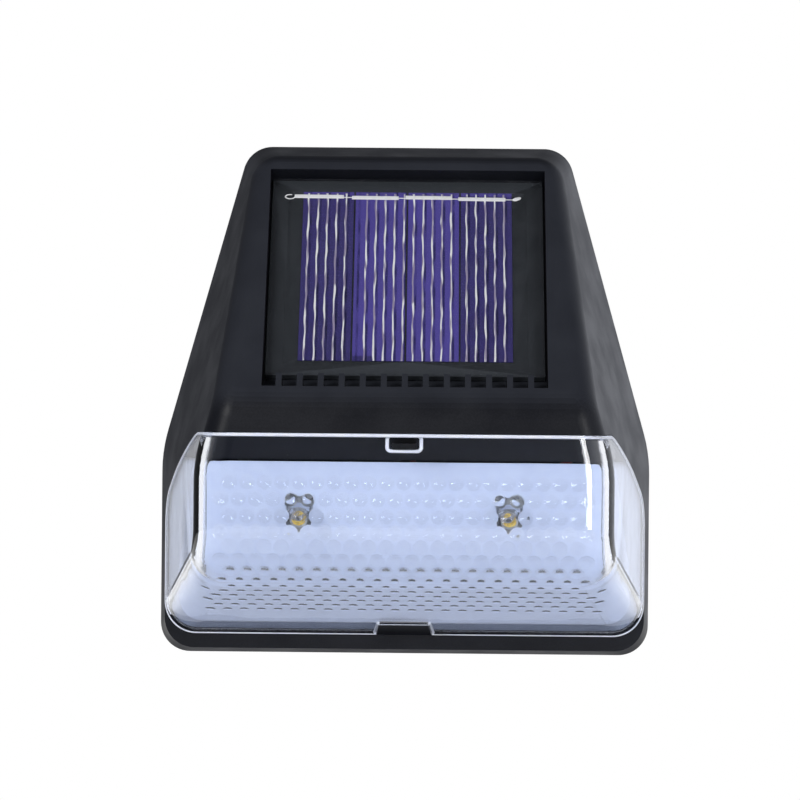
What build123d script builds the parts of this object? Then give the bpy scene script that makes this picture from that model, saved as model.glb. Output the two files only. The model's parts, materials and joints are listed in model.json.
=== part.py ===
from build123d import *
import os
from math import cos, hypot, pi, radians, sin, tan

# Solar fence light: a black moulded wedge that hangs flat on a wall or fence board.
# X runs across, Y runs into the wall, Z runs up. The origin is the middle of the flat back.
# "Distance" below is measured out from the wall, "height" up from the lower edge.

os.makedirs("parts", exist_ok=True)

# ---------------------------------------------------------------- outer form
back_width = 96.0
taper = 33.7
height = 99.6
straight_height = 39.7
front_distance = 45.0
side_draft = 12.85
top_distance = 13.0
top_drop = 3.0
knee_height = 49.5
knee_radius = 10.0
ridge_radius = 4.5
corner_extra_radius = 1.5
bottom_corner_radius = 6.0
side_bend_radius = 30.0
housing_wall = 2.0
rim_distance = 5.0

# ---------------------------------------------------------------- lens
lens_top_height = 43.8
lens_side_drop = 13.2
lens_side_radius = 8.0
lens_brow_radius = 12.0
lens_brow_distance = 34.0
lens_bend_height = 18.0
lens_bend_radius = 12.0
lens_foot_height = 3.95
lens_wall = 1.8
lens_ridge_radius = 6.5
lens_gap = 0.15

# the clear loop on the lens that snaps over a hook of the housing
loop_width = 6.8
loop_height = 3.4
loop_thickness = 3.0
loop_corner_radius = 1.0
loop_slot_width = 4.6
loop_slot_height = 1.25
loop_slot_drop = 1.8
hook_clearance = 0.1
hook_setback = 0.7
brow_wall = 1.6
brow_step = 0.35

# the notch in the lens foot, filled by a tab of the housing
notch_width_front = 9.4
notch_width_back = 10.6
notch_length = 6.5
notch_gap = 0.15

# ---------------------------------------------------------------- reflector and light emitters
reflector_top_distance = 34.0
reflector_top_drop = 5.5
reflector_foot_distance = 8.5
reflector_foot_height = 6.4
reflector_wall = 1.4
reflector_corner_radius = 1.3
reflector_gap = 0.5
led_spacing = 39.6
led_drop = 14.2
led_radius = 2.5
led_flange_radius = 2.9
led_flange_thickness = 1.0
led_length = 8.6
led_hole_clearance = 0.1
lead_size = 0.5
lead_pitch = 2.54
lead_tail = 1.0
cup_radius = 1.1
cup_height = 1.5
cup_level = 4.6
phosphor_radius = 0.85
phosphor_height = 0.5
led_board_width = 54.0
led_board_height = 12.0
led_board_thickness = 1.2
led_screw_spacing = 20.0

# ---------------------------------------------------------------- solar panel
recess_depth = 2.5
recess_start = 2.9
recess_gap = 0.4
panel_side_margin = 10.4
panel_end_margin = 11.34
resin_thickness = 0.7
cell_thickness = 0.2
panel_board_thickness = 1.3
pad_thickness = 0.5
pad_margin = 3.0
tray_wall = 1.5
cell_count = 4
cells_side_margin = 5.75
cells_end_margin = 6.05
cell_gap = 0.35
cell_margin_top = 2.8
busbar_width = 0.75
busbar_thickness = 0.1
busbar_overhang = 2.2
busbar_gap = 0.3
lip_shadow = 1.7
comb_count = 14
comb_side_margin = 0.8
comb_slot_width = 2.76
comb_length = 2.9
comb_depth = 4.0
lead_hole_radius = 2.5

# ---------------------------------------------------------------- back cover and its fixings
cover_thickness = 2.0
cover_gap = 0.2
gasket_thickness = 0.8
gasket_width = 1.3
gasket_margin = 0.3
ledge_width = 2.0
boss_radius = 3.3
boss_clearance = 0.1
boss_length_low = 4.4
boss_length_high = 6.5
cover_screw_edge_x = 7.6
cover_screw_low_height = 12.8
cover_screw_high_inset = 7.15
cover_screw_high_drop = 9.0
screw_radius = 1.2
screw_length = 5.4
screw_head_radius = 2.3
screw_head_height = 1.4
screw_slot_width = 0.7
screw_slot_length = 3.4
screw_head_sink = 0.1
screw_clearance = 0.15
pad_post_height = 1.0
screw_pad_radius = 2.6

keyhole_spacing = 36.0
keyhole_drop = 25.4
keyhole_slot_width = 4.4
keyhole_slot_length = 7.0
keyhole_entry_radius = 4.2
keyhole_cup_wall = 1.2
keyhole_cup_depth = 4.2
keyhole_cup_room = 1.2

# ---------------------------------------------------------------- switch and main board
switch_below_middle = 1.9
switch_travel = 2.0
switch_length = 8.6
switch_width = 3.7
switch_depth = 3.5
switch_gap = 0.5
knob_length = 3.0
knob_width = 1.9
knob_setback = 0.3
knob_base = 1.2
knob_clearance = 0.25
window_clearance = 0.45
switch_recess_length = 18.0
switch_recess_width = 9.0
switch_recess_depth = 0.9
switch_recess_corner = 3.0
board_width = 40.0
board_height = 19.0
board_thickness = 1.2
board_screw_spacing = 32.0
post_radius = 2.6
small_screw_radius = 0.9
small_screw_head_radius = 1.8
small_screw_head_height = 1.1
small_screw_bite = 4.0
chip_length = 5.0
chip_width = 4.0
chip_height = 1.5
capacitor_radius = 2.0
capacitor_height = 5.0
coil_radius = 2.6
coil_height = 4.4
component_spot_x = 9.5
chip_resistor_length = 3.2
chip_resistor_width = 1.6
chip_resistor_height = 0.6
resistor_spot_x = 4.5
knob_groove = 0.3
knob_groove_pitch = 0.9
knob_groove_count = 3

# ---------------------------------------------------------------- battery
battery_radius = 7.0
battery_length = 49.5
battery_nub_radius = 2.7
battery_nub_length = 1.0
battery_drop = 46.2
cradle_floor = 1.4
cradle_wall = 1.3
cradle_depth = 9.0
cradle_lift = 1.6
contact_thickness = 0.4
contact_reach = 2.2
contact_width = 7.0
battery_clearance = 0.15
cradle_ear_width = 7.0
battery_edge_radius = 0.8
contact_stand = 2.0
wire_radius = 0.55
lead_rounding = 0.45
lead_row_margin = 2.5
lead_room = 3.0
lead_drop = 7.4
panel_lead_tail = 8.0
led_lead_tail = 6.0
panel_lead_x = 1.5
led_lead_start_x = 1.5
led_lead_end_x = 3.5
battery_lead_x = 5.5

# ---------------------------------------------------------------- values worked out from the sizes
bottom = -height / 2
top_width = back_width - taper
lens_side_height = lens_top_height - lens_side_drop
reflector_top_height = lens_top_height - reflector_top_drop
led_height = lens_top_height - led_drop
keyhole_height = height - keyhole_drop
battery_height = height - battery_drop
# the switch and its board sit between the battery and the foot of the reflector
switch_height = (battery_height + reflector_foot_height) / 2 - switch_below_middle
draft_angle = radians(side_draft)
lens_foot_slope = (lens_bend_height - lens_foot_height) / (front_distance - rim_distance)
slope_top_height = height - top_drop
slope_rise = slope_top_height - knee_height
slope_run = front_distance - top_distance
panel_width = top_width - panel_side_margin
panel_length = hypot(slope_rise, slope_run) - panel_end_margin
cell_width = (panel_width - 2 * cells_side_margin) / cell_count - cell_gap
cell_length = panel_length - cells_end_margin
comb_pitch = (panel_width - 2 * comb_side_margin) / (comb_count - 1)
recess_floor = recess_depth + resin_thickness + panel_board_thickness + pad_thickness
panel_start = recess_start + recess_gap
recess_end = panel_start + panel_length + lip_shadow
comb_end = recess_end + comb_length
cover_seat = cover_thickness + gasket_thickness
post_top = cover_thickness + pad_post_height
screw_seat = screw_head_sink + screw_head_height
board_distance = cover_thickness + switch_gap + switch_depth
cradle_distance = cover_thickness + cradle_lift
battery_distance = cradle_distance + cradle_floor + battery_clearance + battery_radius
battery_end = (battery_length + battery_nub_length) / 2
cradle_inner = battery_end + contact_reach
beyond = 60.0


def side(distance, level):
    """A point of the side view, which is drawn looking along the width."""
    return (-distance, bottom + level)


def place(x, distance, level):
    """A point of the whole light, from its distance off the wall and its height."""
    return (x, -distance, bottom + level)


# The slope that carries the panel: its own X runs across, its own Y runs up the slope.
slope_plane = Plane(
    origin=place(0, top_distance, slope_top_height),
    x_dir=(1, 0, 0),
    z_dir=(0, -slope_rise, slope_run),
)
# The reflector's face looks outward and down; its own Y runs up the face.
reflector_rise = reflector_top_height - reflector_foot_height
reflector_run = reflector_top_distance - reflector_foot_distance
reflector_lean = reflector_run / reflector_rise
led_distance = reflector_foot_distance + reflector_lean * (led_height - reflector_foot_height)
reflector_plane = Plane(
    origin=place(0, led_distance, led_height),
    x_dir=(1, 0, 0),
    z_dir=(0, -reflector_rise, -reflector_run),
)

outline = [
    (-back_width / 2, bottom),
    (back_width / 2, bottom),
    (back_width / 2, bottom + straight_height),
    (top_width / 2, bottom + height),
    (-top_width / 2, bottom + height),
    (-back_width / 2, bottom + straight_height),
]


def drafted_block(inset, start, end, top_radius=ridge_radius + corner_extra_radius, foot_radius=0):
    """The outline as a block that tapers away from the wall, each side moved in by the inset."""
    with BuildPart() as block:
        with BuildSketch(Plane.XZ):
            Polygon(*outline, align=None)
        extrude(amount=end)
        for (x, level), (next_x, next_level) in zip(outline, outline[1:] + outline[:1]):
            outward = Vector(next_level - level, 0, x - next_x).normalized()
            leaning = outward * cos(draft_angle) + Vector(0, -sin(draft_angle), 0)
            start_point = Vector(x, 0, level) - leaning * inset
            split(bisect_by=Plane(origin=start_point, z_dir=leaning), keep=Keep.BOTTOM)
        spokes = block.edges().filter_by(lambda edge: abs((edge % 0).Y) > cos(draft_angle) / 2)
        feet, bends, tops = spokes.group_by(Axis.Z)
        fillet(tops, top_radius - inset)
        fillet(bends, side_bend_radius - inset)
        if foot_radius > inset:
            fillet(feet, foot_radius - inset)
        if start > 0:
            split(bisect_by=Plane.XZ.offset(start), keep=Keep.TOP)
    return block.part


def body_form(inset, ridge=ridge_radius):
    """The whole wedge with its slope, knee, front and rounded foot, moved in by the inset."""
    with BuildPart() as form:
        add(drafted_block(inset, 0, front_distance, ridge + corner_extra_radius))
        with BuildSketch(Plane.YZ) as profile:
            above = height + beyond
            Polygon(
                side(-beyond, lens_foot_height - (rim_distance + beyond) * lens_foot_slope),
                side(front_distance, lens_bend_height),
                side(front_distance, knee_height),
                side(top_distance - (above - slope_top_height) * slope_run / slope_rise, above),
                side(-beyond, above),
                align=None,
            )
            bend = side(front_distance, lens_bend_height)
            fillet(profile.vertices().sort_by_distance(bend)[0], lens_bend_radius)
            knee = side(front_distance, knee_height)
            fillet(profile.vertices().sort_by_distance(knee)[0], knee_radius)
            if inset > 0:
                offset(amount=-inset, kind=Kind.INTERSECTION)
        extrude(amount=back_width, both=True, mode=Mode.INTERSECT)
        across = form.edges().filter_by(Axis.X)
        slope_top = place(0, top_distance, slope_top_height)
        fillet(across.sort_by_distance(slope_top)[0], ridge - inset)
    return form.part


def lens_zone(gap):
    """Everything in front of the line where the lens meets the housing."""
    with BuildPart() as zone:
        with BuildSketch(Plane.YZ) as profile:
            Polygon(
                side(rim_distance, -beyond),
                side(beyond, -beyond),
                side(beyond, lens_top_height - gap),
                side(lens_brow_distance, lens_top_height - gap),
                side(rim_distance, lens_side_height - gap),
                align=None,
            )
            corner = side(rim_distance, lens_side_height - gap)
            fillet(profile.vertices().sort_by_distance(corner)[0], lens_side_radius)
            brow = side(lens_brow_distance, lens_top_height - gap)
            fillet(profile.vertices().sort_by_distance(brow)[0], lens_brow_radius)
        extrude(amount=back_width, both=True)
    return zone.part


def notch_block(gap):
    """The notch in the foot of the lens, a little wider at the rim."""
    with BuildPart() as block:
        with BuildSketch(Plane.XY.offset(bottom)):
            Polygon(
                (-notch_width_back / 2 - gap, -rim_distance),
                (notch_width_back / 2 + gap, -rim_distance),
                (notch_width_front / 2 + gap, -rim_distance - notch_length - gap),
                (-notch_width_front / 2 - gap, -rim_distance - notch_length - gap),
                align=None,
            )
        extrude(amount=lens_bend_height)
    return block.part


def behind_reflector(setback):
    """Everything behind the reflector's face, moved back by the setback."""
    with BuildPart() as block:
        with BuildSketch(reflector_plane.offset(-setback)):
            Rectangle(2 * back_width, 4 * back_width)
        extrude(amount=-back_width)
    return block.part


# ================================================================ housing
loop_slot_level = lens_top_height - loop_slot_drop - loop_slot_height / 2
cover_screws_at = [
    (sign * x, level)
    for x, level in (
        (back_width / 2 - cover_screw_edge_x, cover_screw_low_height),
        (top_width / 2 - cover_screw_high_inset, height - cover_screw_high_drop),
    )
    for sign in (-1, 1)
]

whole_form = body_form(0)
cavity = body_form(housing_wall)

with BuildPart() as front_housing:
    add(whole_form)
    add(drafted_block(0, 0, rim_distance, foot_radius=bottom_corner_radius))
    add(lens_zone(0), mode=Mode.SUBTRACT)
    add(cavity, mode=Mode.SUBTRACT)
    # the brow: a sloping shelf that closes the housing above the reflector
    with BuildSketch(Plane.YZ):
        brow_out = front_distance - loop_thickness - brow_step
        Polygon(
            side(front_distance, lens_top_height + brow_wall),
            side(front_distance, lens_top_height),
            side(brow_out, lens_top_height),
            side(reflector_top_distance, reflector_top_height + brow_step),
            side(reflector_top_distance - brow_wall, reflector_top_height + brow_wall + brow_step),
            side(brow_out - brow_wall, lens_top_height + 2 * brow_wall),
            align=None,
        )
    brow = extrude(amount=back_width, both=True, mode=Mode.PRIVATE)
    add(brow & cavity)
    # the tray that carries the panel, standing in from the slope
    with BuildSketch(slope_plane.offset(-recess_floor - tray_wall)):
        with Locations((0, -(recess_start + comb_end) / 2)):
            Rectangle(
                panel_width + 2 * (recess_gap + tray_wall),
                comb_end - recess_start + 2 * tray_wall,
            )
    tray = extrude(amount=recess_floor + tray_wall - housing_wall / 2, mode=Mode.PRIVATE)
    add(tray & body_form(housing_wall / 2))
    with BuildSketch(slope_plane.offset(-recess_floor)):
        with Locations((0, -(recess_start + recess_end) / 2)):
            Rectangle(panel_width + 2 * recess_gap, recess_end - recess_start)
    extrude(amount=recess_floor + knee_radius, mode=Mode.SUBTRACT)
    # the comb of drain slots under the panel
    with BuildSketch(slope_plane.offset(-comb_depth)) as comb:
        with Locations((0, -(recess_end + comb_end) / 2)):
            with GridLocations(comb_pitch, 1, comb_count, 1):
                Rectangle(comb_slot_width, comb_length)
        with Locations((0, -(recess_end + comb_end) / 2)):
            Rectangle(panel_width + 2 * recess_gap, comb_length, mode=Mode.INTERSECT)
    extrude(amount=comb_depth + knee_radius, mode=Mode.SUBTRACT)
    # the hole for the panel's leads
    with BuildSketch(slope_plane.offset(-recess_floor - 2 * tray_wall)):
        with Locations((0, -(panel_start + panel_length / 2))):
            Circle(lead_hole_radius)
    extrude(amount=3 * tray_wall, mode=Mode.SUBTRACT)
    # the ledge that the cover's gasket is pressed on
    ledge_inset = housing_wall + ledge_width
    add(drafted_block(housing_wall / 2, cover_seat, rim_distance, foot_radius=bottom_corner_radius))
    add(
        drafted_block(ledge_inset, 0, rim_distance, foot_radius=bottom_corner_radius),
        mode=Mode.SUBTRACT,
    )
    add(
        drafted_block(housing_wall, 0, cover_seat, foot_radius=bottom_corner_radius),
        mode=Mode.SUBTRACT,
    )
    # bosses for the cover screws, the lower two kept clear of the reflector's side walls
    reflector_inner = lens_wall + reflector_gap + reflector_wall + boss_clearance
    inside_reflector = body_form(reflector_inner, lens_ridge_radius)
    for x, level in cover_screws_at:
        low = level < height / 2
        with BuildSketch(Plane.XZ.offset(post_top)):
            with Locations((x, bottom + level)):
                Circle(boss_radius)
        boss = extrude(amount=boss_length_low if low else boss_length_high, mode=Mode.PRIVATE)
        add(boss & inside_reflector if low else boss)
        with BuildSketch(Plane.XZ.offset(post_top)):
            with Locations((x, bottom + level)):
                Circle(screw_radius)
        extrude(amount=screw_seat + screw_length - post_top, mode=Mode.SUBTRACT)
    # the tab that fills the notch in the lens
    tab = (body_form(0, lens_ridge_radius) - body_form(housing_wall, lens_ridge_radius)) & notch_block(0)
    add(tab)
    # the hook that the lens loop snaps over
    hook_out = front_distance - hook_setback
    with BuildSketch(Plane.XZ.offset(reflector_top_distance + brow_wall)):
        with Locations((0, bottom + loop_slot_level)):
            Rectangle(
                loop_slot_width - 2 * hook_clearance,
                loop_slot_height - 2 * hook_clearance,
            )
    extrude(amount=hook_out - reflector_top_distance - brow_wall)
front_housing.part.label = "front_housing"
export_step(front_housing.part, "parts/front_housing.step")

# ================================================================ lens
with BuildPart() as lens:
    add(body_form(0, lens_ridge_radius))
    add(body_form(lens_wall, lens_ridge_radius), mode=Mode.SUBTRACT)
    add(lens_zone(lens_gap), mode=Mode.INTERSECT)
    add(notch_block(notch_gap), mode=Mode.SUBTRACT)
    with BuildSketch(Plane.XZ.offset(front_distance - lens_wall)):
        with Locations((0, bottom + lens_top_height - lens_gap - loop_height / 2)):
            RectangleRounded(loop_width, loop_height, loop_corner_radius)
    extrude(amount=-(loop_thickness - lens_wall))
    with BuildSketch(Plane.XZ.offset(front_distance - 2 * loop_thickness)):
        with Locations((0, bottom + loop_slot_level)):
            Rectangle(loop_slot_width, loop_slot_height)
    extrude(amount=3 * loop_thickness, mode=Mode.SUBTRACT)
lens.part.label = "lens"
export_step(lens.part, "parts/lens.step")

# ================================================================ reflector
reflector_inset = lens_wall + reflector_gap
led_offsets = [-led_spacing / 2, led_spacing / 2]
with BuildPart() as reflector:
    add(body_form(reflector_inset, lens_ridge_radius) & behind_reflector(0))
    add(
        body_form(reflector_inset + reflector_wall, lens_ridge_radius) & behind_reflector(reflector_wall),
        mode=Mode.SUBTRACT,
    )
    # cut level under the brow and flush with the rim
    split(bisect_by=Plane.XY.offset(bottom + reflector_top_height), keep=Keep.BOTTOM)
    split(bisect_by=Plane.XZ.offset(rim_distance), keep=Keep.TOP)
    # its two upper corners are rounded
    reflector_top = bottom + reflector_top_height
    along_top = reflector.edges().filter_by_position(Axis.Z, reflector_top - 0.01, reflector_top + 0.01)
    runs_back = along_top.filter_by(lambda edge: abs((edge % 0.5).Y) > cos(draft_angle) / 2)
    fillet(runs_back.sort_by(lambda edge: abs(edge.center().X))[-2:], reflector_corner_radius)
    with BuildSketch(reflector_plane.offset(-reflector_wall)):
        for x in (-led_screw_spacing / 2, led_screw_spacing / 2):
            with Locations((x, 0)):
                Circle(post_radius)
    extrude(amount=-led_flange_thickness)
    with BuildSketch(reflector_plane):
        for x in led_offsets:
            with Locations((x, 0)):
                Circle(led_radius + led_hole_clearance)
    extrude(amount=-2 * reflector_wall, mode=Mode.SUBTRACT)
    with BuildSketch(reflector_plane.offset(-led_flange_thickness - reflector_wall)):
        for x in (-led_screw_spacing / 2, led_screw_spacing / 2):
            with Locations((x, 0)):
                Circle(small_screw_radius)
    extrude(amount=led_flange_thickness + reflector_wall / 2, mode=Mode.SUBTRACT)
reflector.part.label = "reflector"
export_step(reflector.part, "parts/reflector.step")

# ================================================================ light emitters
board_face = reflector_wall + led_flange_thickness
led_tip = led_length - board_face
led_middles = dict(zip(("left", "right"), led_offsets))

for name, x in led_middles.items():
    axis_plane = Plane(
        origin=reflector_plane.from_local_coords((x, 0, 0)),
        x_dir=(1, 0, 0),
        z_dir=-reflector_plane.y_dir,
    )
    cup_base = cup_level - board_face
    with BuildPart() as led_phosphor:
        with BuildSketch(axis_plane.offset(0)):
            with Locations((phosphor_radius / 2, cup_base + cup_height - phosphor_height / 2)):
                Rectangle(phosphor_radius, phosphor_height)
        revolve(axis=Axis(axis_plane.origin, reflector_plane.z_dir))
    led_phosphor.part.label = f"led_{name}_phosphor"
    export_step(led_phosphor.part, f"parts/led_{name}_phosphor.step")

    tail = board_face + led_board_thickness + lead_tail
    with BuildPart() as led_frame:
        with BuildSketch(reflector_plane.offset(-tail)):
            with Locations((x - lead_pitch / 2, 0)):
                Rectangle(lead_size, lead_size)
        extrude(amount=tail + cup_base)
        with BuildSketch(reflector_plane.offset(cup_base - lead_size)):
            with Locations((x - lead_pitch / 4, 0)):
                Rectangle(lead_pitch / 2 + lead_size, lead_size)
        extrude(amount=lead_size)
        with BuildSketch(reflector_plane.offset(cup_base)):
            with Locations((x, 0)):
                Circle(cup_radius)
        extrude(amount=cup_height)
        add(led_phosphor.part, mode=Mode.SUBTRACT)
        with BuildSketch(reflector_plane.offset(-tail)):
            with Locations((x + lead_pitch / 2 + lead_size / 2, 0)):
                Rectangle(lead_size, lead_size)
        extrude(amount=tail + cup_base + cup_height / 2)
    led_frame.part.label = f"led_{name}_frame"
    export_step(led_frame.part, f"parts/led_{name}_frame.step")

    with BuildPart() as led_body:
        with BuildSketch(axis_plane):
            with BuildLine():
                Polyline(
                    (0, led_tip),
                    (0, -board_face),
                    (led_flange_radius, -board_face),
                    (led_flange_radius, -reflector_wall),
                    (led_radius, -reflector_wall),
                    (led_radius, led_tip - led_radius),
                )
                RadiusArc((led_radius, led_tip - led_radius), (0, led_tip), -led_radius)
            make_face()
        revolve(axis=Axis(axis_plane.origin, reflector_plane.z_dir))
        add(led_frame.part, mode=Mode.SUBTRACT)
        add(led_phosphor.part, mode=Mode.SUBTRACT)
    led_body.part.label = f"led_{name}_body"
    export_step(led_body.part, f"parts/led_{name}_body.step")

lead_places = [
    (x + step, 0)
    for x in led_offsets
    for step in (-lead_pitch / 2, lead_pitch / 2 + lead_size / 2)
]
led_screw_places = [(-led_screw_spacing / 2, 0), (led_screw_spacing / 2, 0)]
with BuildPart() as led_board:
    with BuildSketch(reflector_plane.offset(-board_face)):
        Rectangle(led_board_width, led_board_height)
        with Locations(*lead_places):
            Rectangle(lead_size, lead_size, mode=Mode.SUBTRACT)
        with Locations(*led_screw_places):
            Circle(small_screw_radius, mode=Mode.SUBTRACT)
    extrude(amount=-led_board_thickness)
led_board.part.label = "led_board"
export_step(led_board.part, "parts/led_board.step")

with BuildPart() as led_board_screws:
    with BuildSketch(reflector_plane.offset(-board_face - led_board_thickness)):
        with Locations(*led_screw_places):
            Circle(small_screw_head_radius)
    extrude(amount=-small_screw_head_height)
    with BuildSketch(reflector_plane.offset(-board_face - led_board_thickness)):
        with Locations(*led_screw_places):
            Circle(small_screw_radius)
    extrude(amount=led_board_thickness + led_flange_thickness + reflector_wall / 2)
led_board_screws.part.label = "led_board_screws"
export_step(led_board_screws.part, "parts/led_board_screws.step")

with BuildPart() as led_resistors:
    with BuildSketch(reflector_plane.offset(-board_face - led_board_thickness)):
        with Locations((-resistor_spot_x, 0), (resistor_spot_x, 0)):
            Rectangle(chip_resistor_length, chip_resistor_width)
    extrude(amount=-chip_resistor_height)
led_resistors.part.label = "led_resistors"
export_step(led_resistors.part, "parts/led_resistors.step")

# ================================================================ solar panel
panel_middle = -(panel_start + panel_length / 2)
cells_top = -(panel_start + cell_margin_top)
cells_middle = cells_top - cell_length / 2
cell_pitch = cell_width + cell_gap
cell_plane = slope_plane.offset(-recess_depth - resin_thickness)

with BuildPart() as panel_board:
    with BuildSketch(cell_plane):
        with Locations((0, panel_middle)):
            Rectangle(panel_width, panel_length)
    extrude(amount=-panel_board_thickness)
panel_board.part.label = "panel_board"
export_step(panel_board.part, "parts/panel_board.step")

with BuildPart() as solar_cells:
    with BuildSketch(cell_plane):
        with Locations((0, cells_middle)):
            with GridLocations(cell_pitch, 1, cell_count, 1):
                Rectangle(cell_width, cell_length)
    extrude(amount=cell_thickness)
solar_cells.part.label = "solar_cells"
export_step(solar_cells.part, "parts/solar_cells.step")

with BuildPart() as panel_busbar:
    cells_half = cell_count * cell_pitch / 2
    with BuildSketch(cell_plane.offset(cell_thickness)):
        with Locations((0, cells_top - busbar_width / 2)):
            Rectangle(2 * (cells_half + busbar_overhang), busbar_width)
            with GridLocations(cell_pitch, 1, cell_count - 1, 1):
                Rectangle(busbar_gap, 2 * busbar_width, mode=Mode.SUBTRACT)
    extrude(amount=busbar_thickness)
panel_busbar.part.label = "panel_busbar"
export_step(panel_busbar.part, "parts/panel_busbar.step")

with BuildPart() as panel_resin:
    with BuildSketch(cell_plane):
        with Locations((0, panel_middle)):
            Rectangle(panel_width, panel_length)
    extrude(amount=resin_thickness)
    add(solar_cells.part, mode=Mode.SUBTRACT)
    add(panel_busbar.part, mode=Mode.SUBTRACT)
panel_resin.part.label = "panel_resin"
export_step(panel_resin.part, "parts/panel_resin.step")

with BuildPart() as panel_pad:
    with BuildSketch(slope_plane.offset(-recess_floor)):
        with Locations((0, panel_middle)):
            Rectangle(panel_width - 2 * pad_margin, panel_length - 2 * pad_margin)
            Circle(lead_hole_radius, mode=Mode.SUBTRACT)
    extrude(amount=pad_thickness)
panel_pad.part.label = "panel_pad"
export_step(panel_pad.part, "parts/panel_pad.step")

# ================================================================ back cover
keyhole_spots = [(-keyhole_spacing / 2, 0), (keyhole_spacing / 2, 0)]
cup_width = 2 * (keyhole_entry_radius + keyhole_cup_room)
cup_length = keyhole_slot_length + cup_width
battery_level = bottom + battery_height
ear_x = cradle_inner + cradle_wall + cradle_ear_width / 2
screw_spots = [(x, bottom + level) for x, level in cover_screws_at]
board_screw_spots = [
    (-board_screw_spacing / 2, bottom + switch_height),
    (board_screw_spacing / 2, bottom + switch_height),
]
ear_spots = [(-ear_x, battery_level), (ear_x, battery_level)]

with BuildPart() as back_cover:
    add(drafted_block(housing_wall + cover_gap, 0, cover_thickness, foot_radius=bottom_corner_radius))
    # pads for the four cover screws, posts for the board and for the battery cradle
    for spots, radius, length in (
        (screw_spots, screw_pad_radius, pad_post_height),
        (board_screw_spots, post_radius, board_distance - cover_thickness),
        (ear_spots, post_radius, cradle_lift),
    ):
        with BuildSketch(Plane.XZ.offset(cover_thickness)):
            with Locations(*spots):
                Circle(radius)
        extrude(amount=length)
    # cups behind the keyholes, closed so that no water gets in
    with BuildSketch(Plane.XZ.offset(cover_thickness)):
        with Locations((0, bottom + keyhole_height)):
            with Locations(*keyhole_spots):
                Rectangle(cup_width + 2 * keyhole_cup_wall, cup_length + 2 * keyhole_cup_wall)
    extrude(amount=keyhole_cup_depth)
    with BuildSketch(Plane.XZ.offset(cover_thickness)):
        with Locations((0, bottom + keyhole_height)):
            with Locations(*keyhole_spots):
                Rectangle(cup_width, cup_length)
    extrude(amount=keyhole_cup_depth - keyhole_cup_wall, mode=Mode.SUBTRACT)
    # the keyholes: a round entry with a slot running up from it
    with BuildSketch(Plane.XZ):
        with Locations((0, bottom + keyhole_height - keyhole_slot_length / 2)):
            with Locations(*keyhole_spots):
                Circle(keyhole_entry_radius)
        with Locations((0, bottom + keyhole_height)):
            with Locations(*keyhole_spots):
                SlotCenterToCenter(keyhole_slot_length, keyhole_slot_width, rotation=90)
    extrude(amount=cover_thickness, mode=Mode.SUBTRACT)
    # screw holes with sunk heads
    with BuildSketch(Plane.XZ):
        with Locations(*screw_spots):
            Circle(screw_head_radius + screw_clearance)
    extrude(amount=screw_seat, mode=Mode.SUBTRACT)
    with BuildSketch(Plane.XZ):
        with Locations(*screw_spots):
            Circle(screw_radius + screw_clearance)
    extrude(amount=post_top, mode=Mode.SUBTRACT)
    # pilot holes in the posts
    for spots, top in ((board_screw_spots, board_distance), (ear_spots, cradle_distance)):
        tip = top + (board_thickness if spots is board_screw_spots else cradle_floor) - small_screw_bite
        with BuildSketch(Plane.XZ.offset(tip)):
            with Locations(*spots):
                Circle(small_screw_radius)
        extrude(amount=top - tip, mode=Mode.SUBTRACT)
    # a finger recess and the window of the switch
    with BuildSketch(Plane.XZ):
        with Locations((0, bottom + switch_height)):
            RectangleRounded(switch_recess_length, switch_recess_width, switch_recess_corner)
    extrude(amount=switch_recess_depth, mode=Mode.SUBTRACT)
    with BuildSketch(Plane.XZ):
        with Locations((0, bottom + switch_height)):
            Rectangle(
                knob_length + switch_travel + 2 * window_clearance,
                knob_width + 2 * window_clearance,
            )
    extrude(amount=cover_thickness, mode=Mode.SUBTRACT)
back_cover.part.label = "back_cover"
export_step(back_cover.part, "parts/back_cover.step")

with BuildPart() as cover_gasket:
    gasket_inset = housing_wall + gasket_margin
    add(drafted_block(gasket_inset, cover_thickness, cover_seat, foot_radius=bottom_corner_radius))
    add(
        drafted_block(gasket_inset + gasket_width, 0, cover_seat, foot_radius=bottom_corner_radius),
        mode=Mode.SUBTRACT,
    )
cover_gasket.part.label = "cover_gasket"
export_step(cover_gasket.part, "parts/cover_gasket.step")

with BuildPart() as cover_screws:
    with BuildSketch(Plane.XZ.offset(screw_head_sink)):
        with Locations(*screw_spots):
            Circle(screw_head_radius)
    extrude(amount=screw_head_height)
    with BuildSketch(Plane.XZ.offset(screw_seat)):
        with Locations(*screw_spots):
            Circle(screw_radius)
    extrude(amount=screw_length)
    # the cross in each head
    with BuildSketch(Plane.XZ.offset(screw_head_sink)):
        with Locations(*screw_spots):
            Rectangle(screw_slot_length, screw_slot_width)
            Rectangle(screw_slot_width, screw_slot_length)
    extrude(amount=screw_head_height / 2, mode=Mode.SUBTRACT)
cover_screws.part.label = "cover_screws"
export_step(cover_screws.part, "parts/cover_screws.step")

# ================================================================ main board and switch
with BuildPart() as main_board:
    with BuildSketch(Plane.XZ.offset(board_distance)):
        with Locations((0, bottom + switch_height)):
            Rectangle(board_width, board_height)
        with Locations(*board_screw_spots):
            Circle(small_screw_radius, mode=Mode.SUBTRACT)
    extrude(amount=board_thickness)
main_board.part.label = "main_board"
export_step(main_board.part, "parts/main_board.step")


def small_screws(spots, seat):
    """Screws with their heads on a face at one distance, biting back towards the wall."""
    with BuildPart() as screws:
        with BuildSketch(Plane.XZ.offset(seat)):
            with Locations(*spots):
                Circle(small_screw_head_radius)
        extrude(amount=small_screw_head_height)
        with BuildSketch(Plane.XZ.offset(seat - small_screw_bite)):
            with Locations(*spots):
                Circle(small_screw_radius)
        extrude(amount=small_screw_bite)
    return screws.part


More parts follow.
